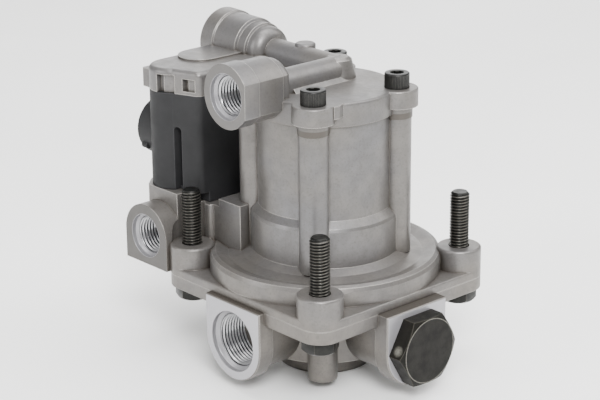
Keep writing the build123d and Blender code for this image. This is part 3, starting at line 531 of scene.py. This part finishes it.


# the joint colour is painted shade, laid in tight inner corners and along the seams
castLook = {"base": "#6a6764", "cool": "#65666b", "warm": "#6d675f", "dark": "#53514e", "edgeWearAndHighlight": "#a9a5a0",
            "grimeAndShade": "#48423b", "mouth": "#8f8e91", "joint": "#443f39", "roughness": 0.4, "metallic": 0.58,
            "uneven": 0.05, "tint": 40, "mottle": 5, "grain": 1.0, "edge": 0.7 * mm, "crease": 5 * mm,
            "corner": 1.6 * mm, "soft": 0.4 * mm, "bump": 0.35, "depth": 0.1 * mm, "ring": 0.7 * mm,
            "ringDepth": 0.12, "line": 0.14 * mm, "lidLine": 0.4 * mm, "warmFrom": 20 * mm,
            "warmTo": -15 * mm, "tintLimits": (0.42, 0.58), "speckLimits": (0.5, 0.32),
            "cornerLimits": (0.85, 0.45),
            "shares": {"cool": 0.5, "warm": 0.4, "mottle": 0.3, "specks": 0.45, "edge": 0.85, "crease": 0.7,
                       "corner": 0.6, "joint": 0.8, "face": 0.9}}


def castAluminium(name, ports, joints):
    # sand-blasted die casting: matt grey with a satin sheen, faintly cooler and warmer in patches, pale along
    # its edges, which is rubbed wear with a painted highlight, brown in its corners, which is grime with
    # painted shade, and darker still in tight corners and along its seams, which is painted shade; port
    # mouths are turned bright and their faces milled, with each face's shade painted into its colour; the
    # grain is drawn 1 mm wide, about three times the real grit, and the turned rings 0.7 mm, so they show
    material, tree, shader, place = startMaterial(name, castLook)
    grain = addNode(tree, "TexNoise", {"Scale": perMetre(castLook["grain"]), "Detail": 3, "Roughness": 0.7},
                    {"Vector": place})
    fewest, most = castLook["speckLimits"]
    specks = addNode(tree, "MapRange", {"From Min": fewest, "From Max": most}, {"Value": grain})
    mottle = patchMask(tree, place, castLook["mottle"])
    tint = patchMask(tree, place, castLook["tint"], *castLook["tintLimits"])
    height = addNode(tree, "SeparateXYZ", links={0: place}, output="Z")
    lowDown = addNode(tree, "MapRange", {"From Min": castLook["warmFrom"], "From Max": castLook["warmTo"]},
                      {"Value": height})
    # edge: the pale coat along outer edges is a painted highlight, with some rubbed wear
    edge = edgeMask(tree, castLook["edge"])
    # crease: brown coat deep in corners, grime with painted shade
    crease = creaseMask(tree, castLook["crease"])
    # corner: the darkest coat, in tight inner corners, is painted shade
    corner = creaseMask(tree, castLook["corner"], *castLook["cornerLimits"])
    shares = castLook["shares"]
    coats = [(tint, castLook["cool"], shares["cool"]), (lowDown, castLook["warm"], shares["warm"]),
             (mottle, castLook["dark"], shares["mottle"]), (specks, castLook["dark"], shares["specks"]),
             (edge, castLook["edgeWearAndHighlight"], shares["edge"]), (crease, castLook["grimeAndShade"], shares["crease"]),
             (corner, castLook["joint"], shares["corner"])]
    for seat, fadesAt in joints:
        # painted shade: a dark line where two castings meet, where their gap would throw a shadow, fading
        # into the casting
        line = addNode(tree, "MapRange", {"From Min": fadesAt, "From Max": seat}, {"Value": height})
        coats.append((line, castLook["joint"], shares["joint"]))
    relief = grain
    for port in ports:
        mouth, face, radius = portTurning(tree, place, port)
        # each port's face colour is milled metal with painted shade
        coats += [(face, port["milledWithShade"], shares["face"]), (mouth, castLook["mouth"], 1.0)]
        turn = addNode(tree, "Math", {"operation": "MULTIPLY", 1: 2 * math.pi / castLook["ring"]},
                       {0: radius})
        ring = addNode(tree, "Math", {"operation": "SINE"}, {0: turn})
        cut = addNode(tree, "Math", {"operation": "MAXIMUM"}, {0: mouth, 1: face})
        shallow = addNode(tree, "Math", {"operation": "MULTIPLY", 1: castLook["ringDepth"]}, {0: ring})
        relief = addNode(tree, "Mix", {"data_type": "FLOAT"}, {0: cut, 2: relief, 3: shallow})
    finishSurface(tree, shader, castLook, layCoats(tree, castLook["base"], coats), relief, mottle)
    return material


def grainedFinish(name, look):
    # a moulded, dipped or rubbed surface: patches, a fine grain, uneven gloss, and edges lightened by a
    # painted highlight, on steel with rubbed wear
    material, tree, shader, place = startMaterial(name, look)
    patch = patchMask(tree, place, look["patch"])
    grain = addNode(tree, "TexNoise", {"Scale": perMetre(look["grain"]), "Detail": 3, "Roughness": 0.7},
                    {"Vector": place})
    edge = edgeMask(tree, look["edgeWidth"])
    # the edge coat is a painted highlight
    coats = [(patch, look["other"], 1.0), (edge, look["edge"], look["edgeShare"])]
    finishSurface(tree, shader, look, layCoats(tree, look["base"], coats), grain, patch)
    return material


# how far up its wave a line's groove begins, and how much the groove and the patches darken
lineLook = {"grooveFrom": 0.5, "grooveShare": 0.8, "patchShare": 0.3}


def linedFinish(name, look):
    # fine lines across the part's axis, such as tool marks or turns of wire
    material, tree, shader, place = startMaterial(name, look)
    height = addNode(tree, "VectorMath", {"operation": "DOT_PRODUCT", 1: (0, 0, 1)}, {0: place}, "Value")
    turn = addNode(tree, "Math", {"operation": "MULTIPLY", 1: 2 * math.pi / look["spacing"]}, {0: height})
    line = addNode(tree, "Math", {"operation": "SINE"}, {0: turn})
    groove = addNode(tree, "MapRange", {"From Min": lineLook["grooveFrom"], "From Max": -1}, {"Value": line})
    patch = patchMask(tree, place, look["patch"])
    coats = [(groove, look["other"], lineLook["grooveShare"]), (patch, look["other"], lineLook["patchShare"])]
    finishSurface(tree, shader, look, layCoats(tree, look["base"], coats), line, patch)
    return material


boltSteelLook = {"base": "#232321", "other": "#181817", "crest": "#5f5c56", "edge": "#6f6b63",
                 "roughness": 0.36, "metallic": 0.75, "uneven": 0.08, "patch": 3, "grain": 0.35,
                 "crestFoot": 3.62 * mm, "crestTop": 3.98 * mm, "crestSlack": 0.1 * mm, "crestShare": 0.75,
                 "soft": 0.05 * mm, "bump": 0.2, "depth": 0.05 * mm, "edgeWidth": 0.3 * mm,
                 "edgeShare": 0.6}


def oxidedBoltSteel(name):
    # black oxide on a rolled thread: black flanks, and crests rubbed to grey steel that catch the light
    material, tree, shader, place = startMaterial(name, boltSteelLook)
    half = mounts["studs"]["dims"]["spacing_x_mm"] / 2 * mm
    folded = addNode(tree, "VectorMath", {"operation": "ABSOLUTE"}, {0: place})
    flat = addNode(tree, "VectorMath", {"operation": "MULTIPLY", 1: (1, 1, 0)}, {0: folded})
    radius = addNode(tree, "VectorMath", {"operation": "DISTANCE", 1: (half, half, 0)}, {0: flat}, "Value")
    crest = addNode(tree, "MapRange", {"From Min": boltSteelLook["crestFoot"],
                                       "From Max": boltSteelLook["crestTop"]}, {"Value": radius})
    onThread = addNode(tree, "Math", {"operation": "LESS_THAN",
                                      1: boltLook["crest"] + boltSteelLook["crestSlack"]}, {0: radius})
    worn = addNode(tree, "Math", {"operation": "MULTIPLY"}, {0: crest, 1: onThread})
    patch = patchMask(tree, place, boltSteelLook["patch"])
    grain = addNode(tree, "TexNoise", {"Scale": perMetre(boltSteelLook["grain"]), "Detail": 3},
                    {"Vector": place})
    # grey hexagon head edges: painted highlight with rubbed wear
    edge = edgeMask(tree, boltSteelLook["edgeWidth"])
    offThread = addNode(tree, "Math", {"operation": "SUBTRACT", 0: 1.0}, {1: onThread})
    headEdgeHighlight = addNode(tree, "Math", {"operation": "MULTIPLY"}, {0: edge, 1: offThread})
    coats = [(patch, boltSteelLook["other"], 1.0),
             (worn, boltSteelLook["crest"], boltSteelLook["crestShare"]),
             (headEdgeHighlight, boltSteelLook["edge"], boltSteelLook["edgeShare"])]
    colour = layCoats(tree, boltSteelLook["base"], coats)
    finishSurface(tree, shader, boltSteelLook, colour, grain, patch)
    return material


# the root colour is painted shade in the thread's hollows
threadLook = {"base": "#b6b6b8", "root": "#2f2f31", "dull": "#919193", "roughness": 0.36, "metallic": 1.0,
              "uneven": 0.04, "patch": 2, "soft": 0.03 * mm, "bump": 0.1, "depth": 0.03 * mm, "grain": 0.4,
              "dullShare": 0.4, "rootShadeShare": 0.95, "rootFrom": 0.5, "rootTo": 0.15}


def cutThreadAluminium(portName):
    # thread cut in the casting: bright crests and flanks, and a dark root that is painted shade in the
    # thread's hollow
    material, tree, shader, place = startMaterial("cutThreadAluminium_" + portName, threadLook)
    radius = mounts[portName]["dims"]["r_mm"] * mm
    across = [1.0 - abs(round(a)) for a in mounts[portName]["axis"]]
    centre = [p * k for p, k in zip(mounts[portName]["pos_m"], across)]
    flat = addNode(tree, "VectorMath", {"operation": "MULTIPLY", 1: across}, {0: place})
    reach = addNode(tree, "VectorMath", {"operation": "DISTANCE", 1: centre}, {0: flat}, "Value")
    rootFrom, rootTo = (radius - threadLook[key] * portLook["threadDepth"] for key in ("rootFrom", "rootTo"))
    # painted shade, darkening towards the thread's root
    root = addNode(tree, "MapRange", {"From Min": rootFrom, "From Max": rootTo}, {"Value": reach})
    patch = patchMask(tree, place, threadLook["patch"])
    grain = addNode(tree, "TexNoise", {"Scale": perMetre(threadLook["grain"]), "Detail": 2},
                    {"Vector": place})
    coats = [(patch, threadLook["dull"], threadLook["dullShare"]),
             (root, threadLook["root"], threadLook["rootShadeShare"])]
    finishSurface(tree, shader, threadLook, layCoats(tree, threadLook["base"], coats), grain, patch)
    return material


plugLook = {"base": "#14130f", "other": "#0e0d0b", "worn": "#8f8d84", "edge": "#55534b", "roughness": 0.5,
            "metallic": 0.2, "specular": 0.15, "uneven": 0.07, "patch": 5, "grain": 0.6, "soft": 0.3 * mm,
            "bump": 0.45, "depth": 0.1 * mm, "ring": 13.15 * mm, "line": 0.18 * mm, "edgeWidth": 0.5 * mm,
            "spot": (56.5 * mm, -14.6 * mm, -25.5 * mm), "spotSize": 2.6 * mm, "edgeShare": 0.6,
            "ringShare": 0.5, "spotShare": 0.8, "brokenFrom": 0.35, "brokenTo": 0.6, "brokenLeast": 0.35}


def phosphatedSteel(name):
    # dark phosphate on steel: olive black and matt, rubbed bright round its face and at one corner
    material, tree, shader, place = startMaterial(name, plugLook)
    low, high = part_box("port_plug")
    patch = patchMask(tree, place, plugLook["patch"])
    grain = addNode(tree, "TexNoise", {"Scale": perMetre(plugLook["grain"]), "Detail": 3, "Roughness": 0.7},
                    {"Vector": place})
    flat = addNode(tree, "VectorMath", {"operation": "MULTIPLY", 1: (0, 1, 1)}, {0: place})
    centre = (0, (low[1] + high[1]) / 2, (low[2] + high[2]) / 2)
    radius = addNode(tree, "VectorMath", {"operation": "DISTANCE", 1: centre}, {0: flat}, "Value")
    onRing = addNode(tree, "Math", {"operation": "COMPARE", 1: plugLook["ring"], 2: plugLook["line"]},
                     {0: radius})
    broken = addNode(tree, "MapRange", {"From Min": plugLook["brokenFrom"], "From Max": plugLook["brokenTo"],
                                        "To Min": plugLook["brokenLeast"]}, {"Value": grain})
    ring = addNode(tree, "Math", {"operation": "MULTIPLY"}, {0: onRing, 1: broken})
    toSpot = addNode(tree, "VectorMath", {"operation": "DISTANCE", 1: plugLook["spot"]}, {0: place}, "Value")
    nearSpot = addNode(tree, "MapRange", {"From Min": plugLook["spotSize"], "From Max": 0}, {"Value": toSpot})
    spot = addNode(tree, "Math", {"operation": "MULTIPLY"}, {0: nearSpot, 1: broken})
    # lighter outer edges: a painted highlight
    edge = edgeMask(tree, plugLook["edgeWidth"])
    coats = [(patch, plugLook["other"], 1.0), (edge, plugLook["edge"], plugLook["edgeShare"]),
             (ring, plugLook["worn"], plugLook["ringShare"]), (spot, plugLook["worn"], plugLook["spotShare"])]
    finishSurface(tree, shader, plugLook, layCoats(tree, plugLook["base"], coats), grain, patch)
    return material


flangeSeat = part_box("lower_housing")[1][2]
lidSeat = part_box("upper_housing")[1][2]
upperPorts = [describePort("side_port")]
lowerPorts = [describePort("supply_port"), describePort("left_delivery_port"),
              describePort("left_delivery_port", mirrored=True)]
capPorts = [describePort("front_control_port"), describePort("side_control_port")]

finishes = {
    "castUpper": castAluminium("castAluminiumUpper", upperPorts, [
        (flangeSeat, flangeSeat + castLook["line"]), (lidSeat, lidSeat - castLook["lidLine"])]),
    "castLower": castAluminium("castAluminiumLower", lowerPorts, [
        (flangeSeat, flangeSeat - castLook["line"])]),
    "castCap": castAluminium("castAluminiumCap", capPorts, [(lidSeat, lidSeat + castLook["lidLine"])]),
    # turned aluminium: bright, with lines round the axis, drawn 0.5 mm apart so that they show
    "turned": linedFinish("turnedAluminium", {
        "base": "#c4c4c6", "other": "#a0a0a2", "roughness": 0.3, "metallic": 1.0, "uneven": 0.05,
        "spacing": 0.5 * mm, "patch": 6, "soft": 0.1 * mm, "bump": 0.15, "depth": 0.05 * mm}),
    "boltSteel": oxidedBoltSteel("oxidedBoltSteel"),
    # black oxide on a knurled head: oily black, with grey edges that are a painted highlight with rubbed wear
    "screwSteel": grainedFinish("oxidedScrewSteel", {
        "base": "#1c1c1b", "other": "#131313", "edge": "#7d7a73", "roughness": 0.38, "metallic": 0.6,
        "uneven": 0.07, "patch": 3, "grain": 0.3, "soft": 0.05 * mm, "bump": 0.2, "depth": 0.05 * mm,
        "edgeWidth": 0.22 * mm, "edgeShare": 0.65}),
    "phosphate": phosphatedSteel("phosphatedSteel"),
    # glass-filled nylon: charcoal, matt, with a fine spark-eroded grain and edges lightened by a painted
    # highlight
    "nylon": grainedFinish("mouldedNylon", {
        "base": "#232324", "other": "#1e1e1f", "edge": "#464648", "roughness": 0.6, "metallic": 0.0,
        "specular": 0.18, "uneven": 0.05, "patch": 14, "grain": 0.7, "soft": 0.5 * mm, "bump": 0.3,
        "depth": 0.1 * mm, "edgeWidth": 0.6 * mm, "edgeShare": 0.5}),
    # nitrile rubber: soft black, slightly dusty, with edges lightened by a painted highlight
    "rubber": grainedFinish("nitrileRubber", {
        "base": "#1d1d1e", "other": "#28282a", "edge": "#2c2c2e", "roughness": 0.62, "metallic": 0.0,
        "uneven": 0.06, "patch": 4, "grain": 0.5, "soft": 0.2 * mm, "bump": 0.2, "depth": 0.1 * mm,
        "edgeWidth": 0.3 * mm, "edgeShare": 0.5}),
    # spring and core steel: cool grey, with drawing lines 0.6 mm apart so that they show
    "steel": linedFinish("drawnSteel", {
        "base": "#a8a9ab", "other": "#808185", "roughness": 0.34, "metallic": 1.0, "uneven": 0.05,
        "spacing": 0.6 * mm, "patch": 3, "soft": 0.1 * mm, "bump": 0.1, "depth": 0.05 * mm}),
    # turned brass: warm yellow, with tool lines 0.4 mm apart so that they show
    "brass": linedFinish("turnedBrass", {
        "base": "#c29a4b", "other": "#9b7733", "roughness": 0.3, "metallic": 1.0, "uneven": 0.05,
        "spacing": 0.4 * mm, "patch": 4, "soft": 0.1 * mm, "bump": 0.12, "depth": 0.05 * mm}),
    # enamelled copper wire: glossy red-brown turns, drawn 0.5 mm apart so that they show
    "copper": linedFinish("enamelledCopper", {
        "base": "#b0623a", "other": "#5f2c16", "roughness": 0.26, "metallic": 0.9, "uneven": 0.04,
        "spacing": 0.5 * mm, "patch": 5, "soft": 0.05 * mm, "bump": 0.6, "depth": 0.1 * mm}),
}

slotFinish = {"cast_aluminium": "castUpper", "machined_aluminium": "turned", "black_steel": "boltSteel",
              "dark_steel": "phosphate", "steel": "steel", "brass": "brass", "copper_wire": "copper",
              "black_plastic": "nylon", "black_rubber": "rubber"}


def paint(piece, material):
    piece.data.materials.clear()
    piece.data.materials.append(material)


for part in frame["record"]["subparts"]:
    paint(nodes[part["node"]], finishes[slotFinish[part["material_slot"]]])
paint(nodes["lower_housing"], finishes["castLower"])
paint(nodes["cap"], finishes["castCap"])
paint(flangeBolts, finishes["boltSteel"])
paint(capScrews, finishes["screwSteel"])
for piece, portName in zip(portThreads, portLook["ports"]):
    paint(piece, cutThreadAluminium(portName))
for coil in coils:
    paint(coil, finishes["steel"])
print("materials made:", len(finishes) + len(portThreads))


studio = {"base": "#fdfdfc", "tint": "#f4f4f3", "cloud": 400, "roughness": 0.7, "metallic": 0.0,
          "floorSize": 6.0, "world": "#ffffff", "worldStrength": 0.42, "aim": (0, 0, 10 * mm),
          "lights": [("key", (1.05, -0.75, 1.15), 0.7, 54), ("fill", (-0.5, -1.3, 0.6), 0.8, 12),
                     ("top", (0.1, 0.2, 1.7), 1.4, 44), ("rim", (0.75, 1.05, 1.2), 1.0, 16),
                     ("back", (-1.3, 1.15, 0.8), 1.4, 15)]}


def buildFloor():
    deselectAll()
    bpy.ops.mesh.primitive_plane_add(size=studio["floorSize"], location=(0, 0, cadBox[0][2]))
    floor = settle(bpy.context.object)
    floor.name = "floor"
    material, tree, shader, place = startMaterial("paleFloor", studio)
    cloud = patchMask(tree, place, studio["cloud"])
    colour = layCoats(tree, studio["base"], [(cloud, studio["tint"], 1.0)])
    tree.links.new(colour, shader.inputs["Base Color"])
    floor.data.materials.append(material)


def buildLights():
    world = bpy.data.worlds.new("studio")
    bpy.context.scene.world = world
    world.use_nodes = True
    background = world.node_tree.nodes["Background"]
    background.inputs["Color"].default_value = linearHex(studio["world"])
    background.inputs["Strength"].default_value = studio["worldStrength"]
    aim = Vector(studio["aim"])
    for name, place, size, power in studio["lights"]:
        light = bpy.data.lights.new(name, "AREA")
        light.size = size
        light.energy = power
        lamp = bpy.data.objects.new(name, light)
        lamp.location = place
        lamp.rotation_euler = (aim - Vector(place)).to_track_quat("-Z", "Y").to_euler()
        bpy.context.scene.collection.objects.link(lamp)


cameraLook = {"place": (528.37, -489.91, 269.75), "azimuth": 47.967, "elevation": 19.198, "roll": -0.506,
              "lens": 112.97, "sensor": 36}


def buildCamera():
    azimuth, elevation, roll = (math.radians(cameraLook[k]) for k in ("azimuth", "elevation", "roll"))
    right = Vector((math.cos(azimuth), math.sin(azimuth), 0))
    back = Vector((math.sin(azimuth) * math.cos(elevation), -math.cos(azimuth) * math.cos(elevation),
                   math.sin(elevation)))
    up = back.cross(right)
    level = Matrix((right, up, back))
    tilt = Matrix(((math.cos(roll), math.sin(roll), 0), (-math.sin(roll), math.cos(roll), 0), (0, 0, 1)))
    lens = bpy.data.cameras.new("photoView")
    lens.lens = cameraLook["lens"]
    lens.sensor_width = cameraLook["sensor"]
    camera = bpy.data.objects.new("photoView", lens)
    camera.matrix_world = (Matrix.Translation(Vector(cameraLook["place"]) * mm)
                           @ (tilt @ level).transposed().to_4x4())
    bpy.context.scene.collection.objects.link(camera)
    bpy.context.scene.camera = camera


buildFloor()
buildLights()
buildCamera()
print("studio ready")
